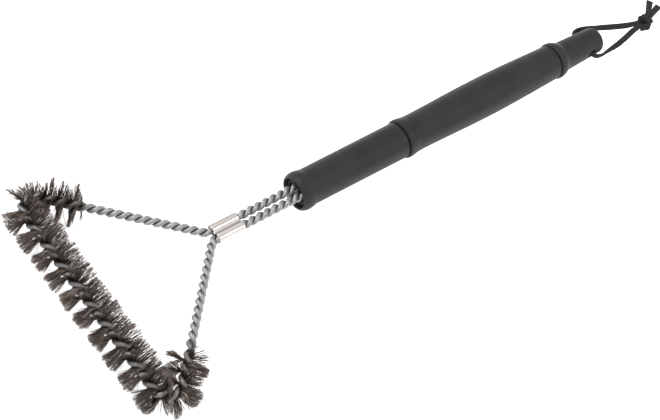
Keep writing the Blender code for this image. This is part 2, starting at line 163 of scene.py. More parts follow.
class Nodes:
    """A short way to write a material's node tree."""

    def __init__(self, name):
        self.material = bpy.data.materials.new(name)
        self.material.use_nodes = True
        self.tree = self.material.node_tree
        self.shader = self.tree.nodes["Principled BSDF"]

    def add(self, kind, **inputs):
        node = self.tree.nodes.new(kind)
        for key, value in inputs.items():
            self.set(node, key.replace("_", " "), value)
        return node

    def set(self, node, key, value):
        if isinstance(value, bpy.types.NodeSocket):
            self.tree.links.new(value, node.inputs[key])
        else:
            node.inputs[key].default_value = value

    def coordinates(self, stretch=(1.0, 1.0, 1.0)):
        mapping = self.add("ShaderNodeMapping", Scale=stretch)
        place_in = self.add("ShaderNodeTexCoord").outputs["Object"]
        self.set(mapping, "Vector", place_in)
        return mapping.outputs["Vector"]

    def noise(self, scale, detail=3.0, stretch=(1.0, 1.0, 1.0), roughness=0.5):
        node = self.add("ShaderNodeTexNoise", Scale=scale, Detail=detail, Roughness=roughness)
        self.set(node, "Vector", self.coordinates(stretch))
        return node.outputs["Fac"]

    def attribute(self, name):
        node = self.add("ShaderNodeAttribute")
        node.attribute_name = name
        return node.outputs["Fac"]

    def span(self, value, low, high, to_low, to_high):
        node = self.add("ShaderNodeMapRange", Value=value)
        for key, number in (("From Min", low), ("From Max", high), ("To Min", to_low), ("To Max", to_high)):
            node.inputs[key].default_value = number
        return node.outputs["Result"]

    def math(self, operation, a, b):
        node = self.add("ShaderNodeMath")
        node.operation = operation
        for index, value in enumerate((a, b)):
            if isinstance(value, bpy.types.NodeSocket):
                self.tree.links.new(value, node.inputs[index])
            else:
                node.inputs[index].default_value = value
        return node.outputs[0]

    def ramp(self, factor, stops):
        node = self.add("ShaderNodeValToRGB", Fac=factor)
        elements = node.color_ramp.elements
        while len(elements) < len(stops):
            elements.new(0.5)
        for element, (position, colour) in zip(elements, stops):
            element.position = position
            element.color = (*colour, 1.0)
        return node.outputs["Color"]

    def mix(self, factor, a, b):
        node = self.add("ShaderNodeMix")
        node.data_type = "RGBA"
        for index, value in ((0, factor), (6, a), (7, b)):
            if isinstance(value, bpy.types.NodeSocket):
                self.tree.links.new(value, node.inputs[index])
            elif index == 0:
                node.inputs[0].default_value = value
            else:
                node.inputs[index].default_value = (*value, 1.0)
        return node.outputs[2]

    def bump(self, height, strength, distance, below=None):
        node = self.add("ShaderNodeBump", Height=height, Strength=strength, Distance=distance)
        if below is not None:
            self.set(node, "Normal", below)
        return node.outputs["Normal"]

    def finish(self, **inputs):
        for key, value in inputs.items():
            self.set(self.shader, key.replace("_", " "), value)
        return self.material


def galvanised_material():
    """Dull zinc on drawn wire: cloudy grey, with painted shade where the wires touch and painted shade along
    the bristled span.
    """
    n = Nodes("galvanised_wire_look")
    cloud = n.noise(420.0, 4.0)
    crevice = n.attribute("crevice")
    bristle_shade = n.attribute("bristle_shade")
    zinc = n.ramp(cloud, (
        (0.30, (0.215, 0.215, 0.211)), (0.52, (0.275, 0.275, 0.271)), (0.72, (0.34, 0.34, 0.333))))
    # Painted shade on the wires along the bristled span, made patchy by noise.
    patchy_bristle_shade = n.math("MULTIPLY", bristle_shade, n.span(n.noise(330.0, 3.0), 0.3, 0.62, 0.75, 0.35))
    bristle_shaded_zinc = n.mix(patchy_bristle_shade, zinc, (0.075, 0.066, 0.060))
    # Painted shade on the inner side of each wire, where the wires touch, broken up by noise.
    crevice_shade = n.math("MULTIPLY", crevice, n.span(n.noise(900.0, 2.0), 0.3, 0.7, 0.6, 1.0))
    colour = n.mix(crevice_shade, bristle_shaded_zinc, (0.06, 0.057, 0.053))
    rough = n.span(cloud, 0.3, 0.7, 0.42, 0.58)
    drawn = n.noise(2600.0, 2.0)
    return n.finish(
        Base_Color=colour, Metallic=0.6, Roughness=rough,
        Normal=n.bump(drawn, 0.25, 0.03 * MM, n.bump(cloud, 0.3, 0.12 * MM)))


def bristle_material():
    """Spring-steel bristles, each with its own tone, with painted light brightening them towards the cut
    tip.
    """
    n = Nodes("bristle_wire_look")
    tone = n.attribute("tone")
    tip = n.attribute("tip")
    body = n.ramp(tone, (
        (0.0, (0.024, 0.0165, 0.0125)), (0.55, (0.082, 0.059, 0.046)), (0.85, (0.23, 0.18, 0.15)),
        (1.0, (0.50, 0.435, 0.39))))
    # Painted light: lighter towards the tip, darker at the root where shade falls in the brush.
    tip_lit = n.mix(n.span(tip, 0.35, 1.0, 0.0, 0.4), body, (0.27, 0.225, 0.20))
    stain = n.span(n.noise(260.0, 3.0), 0.35, 0.65, 0.7, 1.0)
    colour = n.mix(n.math("SUBTRACT", 1.0, stain), tip_lit, (0.030, 0.021, 0.016))
    return n.finish(Base_Color=colour, Metallic=0.6, Roughness=n.span(tone, 0.0, 1.0, 0.5, 0.32))


def ferrule_material():
    """Satin nickel, with painted reflections of dark studio parts as bands round the barrels, painted shade
    in the bore, fine draw lines along the barrels, and rubbed spots.
    """
    n = Nodes("ferrule_metal_look")
    painted_darkening = n.attribute("painted_darkening")
    lines = n.noise(1.0, 4.0, (90.0, 2600.0, 2600.0), 0.6)
    smudge = n.noise(240.0, 3.0)
    clean = n.mix(n.span(smudge, 0.35, 0.7, 0.0, 1.0), (0.66, 0.615, 0.59), (0.59, 0.545, 0.52))
    # Painted reflection bands round the barrels and painted shade in the bore, broken up by the draw lines.
    pressed = n.math("MULTIPLY", painted_darkening, n.span(lines, 0.25, 0.7, 1.0, 0.6))
    colour = n.mix(pressed, clean, (0.20, 0.172, 0.157))
    rough = n.math("ADD", n.span(lines, 0.3, 0.7, 0.30, 0.40), n.span(smudge, 0.4, 0.7, 0.0, 0.08))
    return n.finish(
        Base_Color=colour, Metallic=1.0, Roughness=rough, Specular_Tint=(0.42, 0.40, 0.385, 1.0),
        Normal=n.bump(lines, 0.12, 0.02 * MM))


def plastic_material(name="handle_plastic_look", shade=1.0):
    """Charcoal moulded plastic with a fine spark-eroded grain and faint handling marks; shade below 1 scales
    its colours and specular level down as painted shade.
    """
    n = Nodes(name)
    mottle = n.noise(55.0, 4.0)
    grain = n.noise(2400.0, 3.0, roughness=0.6)
    pores = n.add("ShaderNodeTexVoronoi", Scale=1900.0, Vector=n.coordinates()).outputs["Distance"]
    scuff = n.noise(1.0, 5.0, (30.0, 420.0, 420.0), 0.65)
    # A shade below 1 darkens every colour here: painted shade.
    dark, mid, light = [tuple(c * shade for c in tone) for tone in (
        (0.0195, 0.0182, 0.0178), (0.0265, 0.0247, 0.0242), (0.042, 0.0398, 0.039))]
    base = n.mix(n.span(mottle, 0.3, 0.7, 0.0, 1.0), dark, mid)
    colour = n.mix(n.span(scuff, 0.62, 0.78, 0.0, 0.3), base, light)
    rough = n.math("ADD", n.span(mottle, 0.3, 0.7, 0.46, 0.54), n.span(scuff, 0.55, 0.8, 0.0, -0.07))
    fine = n.bump(grain, 0.35, 0.03 * MM, n.bump(pores, 0.2, 0.03 * MM))
    return n.finish(Base_Color=colour, Roughness=rough, Specular_IOR_Level=0.14 * shade, Normal=fine)


def lace_material():
    """Woven polyester, dull black, with painted shade in the weave's low lines and painted light on the
    raised strands.
    """
    n = Nodes("woven_lace_look")
    relief = n.attribute("relief")
    fibre = n.noise(3200.0, 3.0)
    # Painted shade in the low lines of the weave and painted light on its raised strands.
    weave_shading = n.ramp(relief, (
        (0.0, (0.004, 0.0038, 0.0036)), (0.5, (0.015, 0.0142, 0.0137)), (1.0, (0.030, 0.0286, 0.0277))))
    colour = n.mix(n.span(fibre, 0.4, 0.75, 0.0, 0.4), weave_shading, (0.022, 0.0213, 0.021))
    return n.finish(
        Base_Color=colour, Roughness=n.span(fibre, 0.3, 0.7, 0.75, 0.92), Specular_IOR_Level=0.08,
        Sheen_Weight=0.02, Sheen_Roughness=0.5, Normal=n.bump(fibre, 0.5, 0.06 * MM))


def core_material():
    """Drawn steel tube inside the handle."""
    n = Nodes("handle_core_look")
    lines = n.noise(1.0, 3.0, (60.0, 1800.0, 1800.0))
    colour = n.ramp(lines, ((0.3, (0.045, 0.045, 0.047)), (0.7, (0.10, 0.10, 0.105))))
    return n.finish(Base_Color=colour, Roughness=n.span(lines, 0.3, 0.7, 0.45, 0.6))


def floor_material():
    n = Nodes("studio_floor")
    shade = n.noise(3.0, 2.0)
    colour = n.ramp(shade, ((0.3, (0.90, 0.90, 0.90)), (0.7, (0.915, 0.915, 0.915))))
    return n.finish(
        Base_Color=colour, Roughness=0.9, Specular_IOR_Level=0.1, Emission_Color=(1.0, 1.0, 1.0, 1.0),
        Emission_Strength=0.75)


# ---------------------------------------------------------------- camera and studio

def make_camera():
    data = bpy.data.cameras.new("camera")
    data.sensor_width = 36.0
    data.lens = CAMERA_LENS
    data.clip_start = 0.05
    data.clip_end = 20.0
    camera = bpy.data.objects.new("camera", data)
    bpy.context.collection.objects.link(camera)
    right = Vector(CAMERA_RIGHT).normalized()
    up = Vector(CAMERA_UP).normalized()
    back = right.cross(up).normalized()
    turn = Matrix((right, back.cross(right), back)).transposed().to_4x4()
    camera.matrix_world = Matrix.Translation(place(CAMERA_PLACE)) @ turn
    bpy.context.scene.camera = camera


def make_light(name, position, size, power):
    """A soft rectangular lamp, aimed at the middle of the object."""
    data = bpy.data.lights.new(name, "AREA")
    data.shape = "RECTANGLE"
    data.size, data.size_y = size
    data.energy = power
    lamp = bpy.data.objects.new(name, data)
    lamp.location = position
    lamp.rotation_euler = (-Vector(position)).to_track_quat("-Z", "Y").to_euler()
    bpy.context.collection.objects.link(lamp)


def make_studio():
    scene = bpy.context.scene
    scene.view_settings.view_transform = "Standard"
    scene.view_settings.look = "None"
    world = bpy.data.worlds.new("studio")
    scene.world = world
    world.use_nodes = True
    background = world.node_tree.nodes["Background"]
    background.inputs["Color"].default_value = (1.0, 1.0, 1.0, 1.0)
    background.inputs["Strength"].default_value = 0.88
    make_light("key", (-0.55, 0.65, 1.1), (0.9, 0.9), 16.0)
    make_light("fill", (0.5, -0.9, 0.9), (1.2, 0.8), 7.0)
    bm = bmesh.new()
    bmesh.ops.create_circle(bm, cap_ends=True, segments=64, radius=3.0)
    mesh = bpy.data.meshes.new("floor")
    bm.to_mesh(mesh)
    bm.free()
    mesh.materials.append(floor_material())
    floor = bpy.data.objects.new("floor", mesh)
    floor.location.z = -0.0002
    bpy.context.collection.objects.link(floor)


# ---------------------------------------------------------------- lace

# Route of each leg from inside the cross hole to the knot, with the roll of its flat side in degrees.
LACE_LEFT = (
    (427.4, 0.2, 0.0, 90), (427.4, 3.6, 0.0, 90), (427.4, 7.2, 0.0, 90), (427.5, 10.6, 0.0, 88),
    (429.3, 13.1, -0.3, 84), (433.0, 13.9, -0.8, 78), (438.5, 13.7, -1.6, 68), (446.0, 12.1, -3.0, 56),
    (453.0, 10.1, -4.3, 46), (460.0, 8.3, -5.7, 40), (467.0, 6.5, -7.1, 34), (474.0, 4.7, -8.3, 30),
    (480.0, 3.2, -9.2, 26), (484.0, 2.4, -9.6, 22), (487.4, 1.8, -9.9, 20), (491.6, 0.9, -10.2, 16))
LACE_RIGHT = (
    (427.4, -0.2, 0.0, 90), (427.4, -3.6, 0.0, 90), (427.4, -7.2, 0.0, 90), (427.5, -10.6, 0.0, 92),
    (429.2, -12.9, -0.5, 98), (433.0, -13.5, -1.5, 108), (438.5, -12.8, -2.9, 120),
    (446.0, -11.3, -4.5, 150),
    (453.0, -10.1, -5.8, 186), (460.0, -8.7, -7.0, 202), (467.0, -7.0, -8.1, 206), (474.0, -5.2, -9.0, 202),
    (480.0, -3.6, -9.6, 194), (484.0, -2.8, -9.9, 186), (487.4, -2.2, -10.1, 180),
    (491.6, -1.5, -10.4, 174))


def band(name, route, roll, width, thickness, material):
    """A flat woven band along a route; roll turns its flat side, 0 being level."""
    s = lengths_along(route)
    along = unit(np.gradient(route, axis=0))
    level = unit(np.cross(UP, along))
    over = np.cross(along, level)
    turn = np.radians(roll)[:, None]
    wide = level * np.cos(turn) + over * np.sin(turn)
    flat = np.cross(along, wide)
    angle = np.linspace(0.0, math.tau, BAND_SIDES, endpoint=False)
    across = np.sign(np.cos(angle)) * np.abs(np.cos(angle)) ** 0.75
    height = np.sign(np.sin(angle)) * np.abs(np.sin(angle)) ** 0.55
    halves = np.broadcast_to(np.asarray(width, float), s.shape)[:, None] / 2
    u = across[None, :] * halves
    left = np.sin(math.tau * (s[:, None] + u) / TWILL)
    right = np.sin(math.tau * (s[:, None] - u) / TWILL)
    relief = np.maximum(left * np.sign(right), right * -np.sign(left)) * 0.5 + 0.5
    thick = np.broadcast_to(np.asarray(thickness, float), s.shape)[:, None] / 2
    lift = thick * height[None, :] + np.sign(height)[None, :] * (relief - 0.5) * 0.16 * MM
    points = route[:, None, :] + wide[:, None, :] * u[..., None] + flat[:, None, :] * lift[..., None]
    piece = make_piece(name, points.reshape(-1, 3), ring_faces(len(s), BAND_SIDES), material)
    add_attribute(piece, "relief", relief.ravel())
    return piece


def lace_leg(name, side, node, material):
    fine = even(smooth_curve(side, 12) * (MM, MM, MM, 1.0) + (*ORIGIN, 0.0), BAND_STEP)
    route, roll = fine[:, :3], fine[:, 3]
    share = np.linspace(0.0, 1.0, len(route))
    width = np.interp(share, (0.0, 0.12, 0.45, 0.6, 0.85, 1.0), (0.86, 1.0, 1.02, 1.16, 1.14, 0.95))
    thickness = np.interp(share, (0.0, 0.15, 0.35, 0.5, 1.0), (1.0, 1.25, 1.3, 0.9, 0.9))
    piece = band(name, route, roll, LACE_WIDTH * width, LACE_THICKNESS * thickness, material)
    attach(piece, "hang_loop")
    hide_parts(node)
    return piece, route


def join(piece, other):
    """Put another piece's mesh into this piece, and drop the other."""
    bm = bmesh.new()
    bm.from_mesh(piece.data)
    bm.from_mesh(other.data)
    bm.to_mesh(piece.data)
    bm.free()
    bpy.data.objects.remove(other, do_unlink=True)


def ellipsoid(half_sizes, rings=24, sides=40):
    """Points and faces of an ellipsoid, its rings stacked up along z."""
    tilt = np.linspace(math.pi, 0.0, rings + 1)[1:-1, None]
    around = np.linspace(0.0, math.tau, sides, endpoint=False)[None, :]
    body = np.stack((
        np.sin(tilt) * np.cos(around), np.sin(tilt) * np.sin(around),
        np.cos(tilt) * np.ones_like(around)), axis=-1).reshape(-1, 3)
    points = np.vstack((body, (0.0, 0.0, -1.0), (0.0, 0.0, 1.0))) * half_sizes
    faces = ring_faces(rings - 1, sides, closed_ends=False)
    bottom, top = len(body), len(body) + 1
    last = len(body) - sides
    for j in range(sides):
        k = (j + 1) % sides
        faces.append((k, j, bottom))
        faces.append((last + j, last + k, top))
    return points, faces


def lace_knot(material):
    """An overhand knot tied in both ends of the lace."""
    t = np.linspace(-2.02, 2.02, 190)
    x = t ** 3 - 3.0 * t
    y = t ** 4 - 4.0 * t ** 2 + 1.9
    z = (t ** 5 - 10.0 * t) / 12.0
    line = np.column_stack((x / 2.9 * 7.2, -y / 2.4 * 4.1, z / 1.6 * 1.9))
    line = even(line, KNOT_STEP) * MM
    spin = math.radians(8.0)
    turn = np.array(((math.cos(spin), -math.sin(spin), 0), (math.sin(spin), math.cos(spin), 0), (0, 0, 1)))
    route = line @ turn.T + place((496.4, -0.9, -10.7))
    roll = np.linspace(-30.0, 150.0, len(route))
    piece = band("lace_knot_wraps", route, roll, 4.4 * MM, 2.8 * MM, material)
    angle = np.linspace(0.25, math.tau + 0.1, 120)
    hoop = np.column_stack((
        1.6 * np.sin(angle) + 2.2 * angle / math.tau - 1.4, 4.6 * np.cos(angle), 2.6 * np.sin(angle))) * MM
    hoop = even(hoop, KNOT_STEP * MM) @ turn.T + place((496.6, -0.7, -10.9))
    collar = band("lace_knot_collar", hoop, np.array((90.0,)), 4.6 * MM, 2.4 * MM, material)
    join(piece, collar)
    points, faces = ellipsoid((6.2 * MM, 4.0 * MM, 2.6 * MM))
    points = points @ turn.T + place((496.4, -0.9, -10.9))
    join(piece, make_piece("lace_knot_middle", points, faces, material))
    for vertex in piece.data.vertices:
        vertex.co.z = max(vertex.co.z, FLOOR_CONTACT)
    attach(piece, "hang_loop")
    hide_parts("lace_knot")
    return piece


def lace_tail(name, node, points, roll, material):
    """A free end, flaring and thinning towards its cut."""
    route = even(place(smooth_curve(points, 12)), BAND_STEP)
    share = np.linspace(0.0, 1.0, len(route))
    width = (3.9 + 1.6 * share ** 1.3) * MM
    thickness = (1.5 - 0.7 * share) * MM
    piece = band(name, route, np.linspace(roll[0], roll[1], len(route)), width, thickness, material)
    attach(piece, "hang_loop")
    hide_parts(node)
    return piece


def make_lace():
    material = lace_material()
    knot = lace_knot(material)
    left_tail = lace_tail(
        "lace_end_left", "lace_tail_left",
        ((500.4, 1.4, -10.4), (506.6, 5.0, -11.6), (513.8, 10.2, -13.4), (520.8, 15.6, -14.5)),
        (30, 4), material)
    right_tail = lace_tail(
        "lace_end_right", "lace_tail_right",
        ((501.0, -0.2, -10.9), (507.6, 2.6, -12.4), (515.4, 5.6, -13.9), (523.4, 8.2, -14.5)),
        (-20, 2), material)
    for name, side, node, held in (
            ("lace_loop_left", LACE_LEFT, "lace_leg_left", (knot, left_tail)),
            ("lace_loop_right", LACE_RIGHT, "lace_leg_right", (right_tail,))):
        piece, route = lace_leg(name, side, node, material)


# ---------------------------------------------------------------- wire rope

class Rope:
    """The rope's line in plan, its heading and its twist, by distance along it."""

    def __init__(self):
        corners = np.array(ROPE_CORNERS) * MM
        legs = np.diff(corners[:, :2], axis=0)
        headings = np.unwrap(np.arctan2(legs[:, 1], legs[:, 0]))
        turns = np.abs(np.diff(headings))
        setbacks = corners[1:-1, 2] * np.tan(turns / 2)
        runs = np.hypot(legs[:, 0], legs[:, 1])
        runs[:-1] -= setbacks
        runs[1:] -= setbacks
        arcs = corners[1:-1, 2] * turns
        steps = np.column_stack((runs, np.append(arcs, 0.0))).ravel()[:-1]
        marks = np.concatenate(([0.0], np.cumsum(steps)))
        self.length = marks[-1]
        self.bar_start, self.bar_end = marks[4], marks[5]
        self.arc = arcs[1]
        self.near_corner = self.bar_end + self.arc * 0.3
        self.s = np.linspace(0.0, self.length, 12001)
        self.heading = np.interp(self.s, marks, np.repeat(headings, 2))
        step = self.s[1]
        self.xy = [corners[0, 0] + self._sum(np.cos(self.heading), step),
                   corners[0, 1] + self._sum(np.sin(self.heading), step)]
        low, high = self.brush_span()
        inside = np.minimum(self.s - low, high - self.s)
        share = np.clip(inside / PITCH_BLEND + 0.5, 0.0, 1.0)
        rate = math.tau / BARE_PITCH * (1 - share) + math.tau / BRUSH_PITCH * share
        angle = -self._sum(rate, step)
        level = self.bar_start + BAR_HALF - LEVEL_BLADE_Y
        self.angle = angle - np.interp(level, self.s, angle)

    @staticmethod
    def _sum(values, step):
        return np.concatenate(([0.0], np.cumsum((values[1:] + values[:-1]) / 2 * step)))

    def twist(self, s):
        return np.interp(s, self.s, self.angle)

    def at_twist(self, angle):
        return float(np.interp(-angle, -self.angle, self.s))

    def frame(self, s):
        """Centre, direction and inward normal at each distance."""
        heading = np.interp(s, self.s, self.heading)
        zero = np.zeros_like(heading)
        centre = np.column_stack((np.interp(s, self.s, self.xy[0]), np.interp(s, self.s, self.xy[1]), zero))
        along = np.column_stack((np.cos(heading), np.sin(heading), zero))
        inward = np.column_stack((-np.sin(heading), np.cos(heading), zero))
        return centre, along, inward

    def brush_span(self):
        slope = (CORNER_Y - BARREL_Y * MM) / NECK_X
        arm = (BRISTLE_ARM_X * MM - CORNER_RADIUS * 1.7) * math.hypot(1.0, slope)
        return self.bar_start - self.arc - arm, self.bar_end + self.arc + arm

    def inner_limit(self, s):
        """How far inward a bristle reaches before it meets the wires of the corner's other side."""
        centre, _, _ = self.frame(s)
        half_angle = math.atan2(NECK_X, CORNER_Y - BARREL_Y * MM) / 2
        along = np.hypot(centre[:, 0], np.abs(centre[:, 1]) - CORNER_Y)
        return np.maximum(along * math.tan(2 * half_angle) - 3.4 * MM, CORNER_RADIUS - 0.4 * MM)


def make_wires(rope):
    material = galvanised_material()
    s = np.linspace(0.0, rope.length, round(rope.length / WIRE_STEP) + 1)
    centre, _, inward = rope.frame(s)
    low, high = rope.brush_span()
    share = np.clip(np.minimum(s - low, high - s) / LAY_BLEND + 0.3, 0.0, 1.0)[:, None]
    lay = BARE_LAY * (1 - share) + BRUSH_LAY * share
    inside = np.minimum(centre[:, 0] - CRIMP[0], CRIMP[1] - centre[:, 0])
    crimped = np.clip(inside / MM + 0.5, 0.0, 1.0)[:, None]
    lay = lay + (CRIMPED_LAY - lay) * crimped
    twist = rope.twist(s)[:, None]
    cross = -inward * np.sin(twist) + UP * np.cos(twist)
    ring = np.linspace(0.0, math.tau, WIRE_SIDES, endpoint=False)
    for number, way in ((1, 1.0), (2, -1.0)):
        line = centre + cross * lay * way
        along = unit(np.gradient(line, axis=0))
        side = unit(np.cross(along, cross * way))
        top = np.cross(side, along)
        offset = (top[:, None, :] * np.cos(ring)[None, :, None]
                  + side[:, None, :] * np.sin(ring)[None, :, None])
        points = line[:, None, :] + offset * WIRE_RADIUS + ORIGIN
        faces = ring_faces(len(s), WIRE_SIDES)
        piece = make_piece(f"rope_wire_{number}", points.reshape(-1, 3), faces, material)
        # Painted shade: the inner side of each wire, where it meets the other wire, is marked for darkening.
        crevice = np.clip((0.12 - np.cos(ring)) / 0.55, 0.0, 1.0) ** 1.5
        add_attribute(piece, "crevice", np.tile(crevice, len(s)))
        # Painted shade along the bristled span, where the bristles shade the wires.
        add_attribute(piece, "bristle_shade", np.repeat(share.ravel(), WIRE_SIDES))
        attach(piece, "brush")
        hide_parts(f"frame_wire_{number}")


# ---------------------------------------------------------------- bristles

def strand_mesh(paths, radius):
    """Points and faces of many thin strands; paths is strands x rings x 3."""
    count, rings, _ = paths.shape
    along = unit(np.gradient(paths, axis=1))
    side = unit(np.cross(along, np.array((0.31, 0.22, 0.92))))
    over = np.cross(along, side)
    angle = np.linspace(0.0, math.tau, STRAND_SIDES, endpoint=False)
    taper = np.ones(rings)
    taper[-1] = 0.75
    offset = (side[:, :, None, :] * np.cos(angle)[None, None, :, None]
              + over[:, :, None, :] * np.sin(angle)[None, None, :, None])
    points = paths[:, :, None, :] + offset * (radius[:, None] * taper)[:, :, None, None]
    skin = np.array(ring_faces(rings, STRAND_SIDES, closed_ends=False))
    base = np.arange(count)[:, None, None] * rings * STRAND_SIDES
    quads = (skin[None] + base).reshape(-1, 4).tolist()
    last = (rings - 1) * STRAND_SIDES
    ends = np.array((range(STRAND_SIDES - 1, -1, -1), range(last, last + STRAND_SIDES)))
    caps = (ends[None] + base).reshape(-1, STRAND_SIDES).tolist()
    return points.reshape(-1, 3), quads + caps


def strand_aims(twist, on_bar):
    """Where both ends of each bristle leave the rope and where they point, in degrees.

    Zero is inward and 90 is up. On the bar, in one half of each turn, the ends on the outer side
    are pressed flat, out over the wire, so the outer side has one broad tuft in each turn.
    """
    degrees = np.degrees(twist) % 360.0
    pressed = (degrees > 180.0) & on_bar
    share = np.where(degrees > 180.0, (360.0 - degrees) / 180.0, (180.0 - degrees) / 180.0)
    rising = 180.0 - 180.0 * share
    falling = -180.0 * share
    splay = np.where(pressed, (share - 0.5) * 3.4 * MM, 0.0)
    upper = np.where(share < 0.6, 181.0 + 22.0 * share, np.clip(rising, 24.0, 55.0))
    lower = np.where(share > 0.42, -180.0 + 26.0 * share, falling)
    raised = (share < 0.2) & ~pressed & on_bar
    upper = np.where(pressed, upper, rising)
    lower = np.where(pressed, lower, np.where(raised, 18.0 - 60.0 * share, falling))
    upper_splay = np.where(share < 0.6, splay, 0.0)
    lower_splay = np.where(share > 0.42, splay, 0.0)
    return (rising, upper, upper_splay), (falling, lower, lower_splay)


def tuft_paths(rope, start, end, seed):
    """Bristles of one turn, both ends of each, in clumps that lean together.

    Round the near corner they gather into tufts, one for each half turn, with gaps between.
    """
    rng = np.random.default_rng(seed)
    count = round((end - start) / MM * BRISTLES_PER_MM)
    s = start + (end - start) * (np.arange(count) + rng.uniform(0, 1, count)) / count
    centre, along, inward = rope.frame(s)
    limit = rope.inner_limit(s)
    turns = -(rope.twist(s) / math.tau)
    layer = rng.uniform(-1, 1, count)
    corner = np.clip(1.0 - np.abs(s - rope.near_corner) / CORNER_ZONE, 0.0, 1.0) ** 0.5
    t = np.array((0.0, 0.13, 0.24, 0.36, 0.52, 0.75, 1.0))
    paths, tones = [], []
    for leave, aim, splay in strand_aims(rope.twist(s), s > rope.bar_start - rope.arc):
        position = (turns % 1.0) * CLUMPS_PER_TURN + rng.uniform(-0.2, 0.2, count)
        clump = np.floor(position).astype(int) % CLUMPS_PER_TURN
        to_middle = (np.floor(position) + 0.5 - position) * BRUSH_PITCH / CLUMPS_PER_TURN
        tuft = (turns % 1.0) * 2.0
        to_tuft = (np.floor(tuft) + 0.5 - tuft) * BRUSH_PITCH / 2.0
        fan = np.clip(1.0 - np.cos(np.radians(aim)) * BRISTLE_REACH / CORNER_RADIUS, 0.0, 2.7)
        gather = to_tuft * corner * fan * 0.5
        lobe = (turns % 1.0) * 4.0
        to_lobe = (np.floor(lobe) + 0.5 - lobe) * BRUSH_PITCH / 4.0
        lean = rng.normal(0, 0.5 * MM, CLUMPS_PER_TURN)[clump]
        lean = lean + to_middle * 0.25 + to_lobe * 0.16 + splay + gather
        lean = lean + rng.normal(0, 0.7 * MM, count)
        swing = rng.normal(0, 3.5, CLUMPS_PER_TURN)[clump] + rng.normal(0, 4.2, count)
        stray = rng.uniform(0, 1, count) < STRAY_SHARE
        lean = np.where(stray, rng.normal(0, 3.0 * MM, count), lean)
        swing = np.where(stray, rng.normal(0, 15.0, count), swing)
        edge = np.abs(to_middle) / BRUSH_PITCH * CLUMPS_PER_TURN
        reach = BRISTLE_REACH * (1.0 + 0.014 * rng.normal(0, 1, count))
        reach = reach - np.abs(rng.normal(0, 0.6 * MM, count))
        reach = reach + rng.normal(0, 0.5 * MM, CLUMPS_PER_TURN)[clump] - 1.0 * MM * edge ** 2
        reach = reach - 2.2 * MM * (to_lobe / BRUSH_PITCH * 4.0) ** 2
        outward = np.cos(np.radians(aim)) < -0.3
        fray = 5.0 * MM * (to_tuft / BRUSH_PITCH * 2.0) ** 2 + np.abs(rng.normal(0, 0.7 * MM, count))
        reach = np.where(outward, reach - fray, reach)
        inner = np.cos(np.radians(aim + swing))
        room = (limit + rng.uniform(-0.3, 1.6, count) * MM) / np.maximum(inner, 1e-3)
        reach = np.where(inner > 0.02, np.minimum(reach, room), reach)
        turn = (aim - leave + 180.0) % 360.0 - 180.0
        out = reach[:, None] * t
        ease = np.clip((out - 3.0 * MM) / (4.6 * MM), 0.0, 1.0)
        ease = ease * ease * (3.0 - 2.0 * ease)
        angle = np.radians(leave[:, None] + turn[:, None] * ease + swing[:, None] * t)
        ray = inward[:, None, :] * np.cos(angle)[..., None] + UP * np.sin(angle)[..., None]
        across = UP * np.cos(angle)[..., None] - inward[:, None, :] * np.sin(angle)[..., None]
        path = centre[:, None, :] + ray * out[..., None]
        path = path + along[:, None, :] * (lean[:, None] * t[None, :] ** 1.5)[..., None]
        bend = layer[:, None] * 0.3 * MM + rng.normal(0, 0.35 * MM, count)[:, None] * np.sin(math.pi * t)
        path = path + across * bend[..., None]
        path[..., 2] = np.maximum(path[..., 2], TIP_FLOOR)
        paths.append(path)
        tone = rng.normal(0.47, 0.3, count) + rng.normal(0, 0.1, CLUMPS_PER_TURN)[clump]
        tones.append(np.clip(tone, 0.0, 1.0))
    return np.concatenate(paths), np.concatenate(tones), t


def make_bristles(rope):
    material = bristle_material()
    low, high = rope.brush_span()
    first = math.floor((float(rope.twist(low)) - math.pi / 2) / math.tau)
    last = math.ceil((float(rope.twist(high)) - math.pi / 2) / math.tau)
    for number, turn in enumerate(range(first, last, -1), start=1):
        start = rope.at_twist(math.tau * turn + math.pi / 2)
        end = rope.at_twist(math.tau * (turn - 1) + math.pi / 2)
        if number == 1:
            start = rope.at_twist(math.tau * turn + math.pi * 1.5)
        paths, tones, t = tuft_paths(rope, start, end, 400 + number)
        radius = BRISTLE_RADIUS * (0.85 + 0.3 * np.random.default_rng(number).uniform(0, 1, len(paths)))
        points, faces = strand_mesh(paths, radius)
        piece = make_piece(f"bristles_{number:02d}", points + ORIGIN, faces, material)
        add_attribute(piece, "tone", np.repeat(tones, len(t) * STRAND_SIDES))
        add_attribute(piece, "tip", np.tile(np.repeat(t, STRAND_SIDES), len(paths)))
        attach(piece, "brush")
        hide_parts(f"bristle_fan_{number:02d}")


# ---------------------------------------------------------------- ferrule

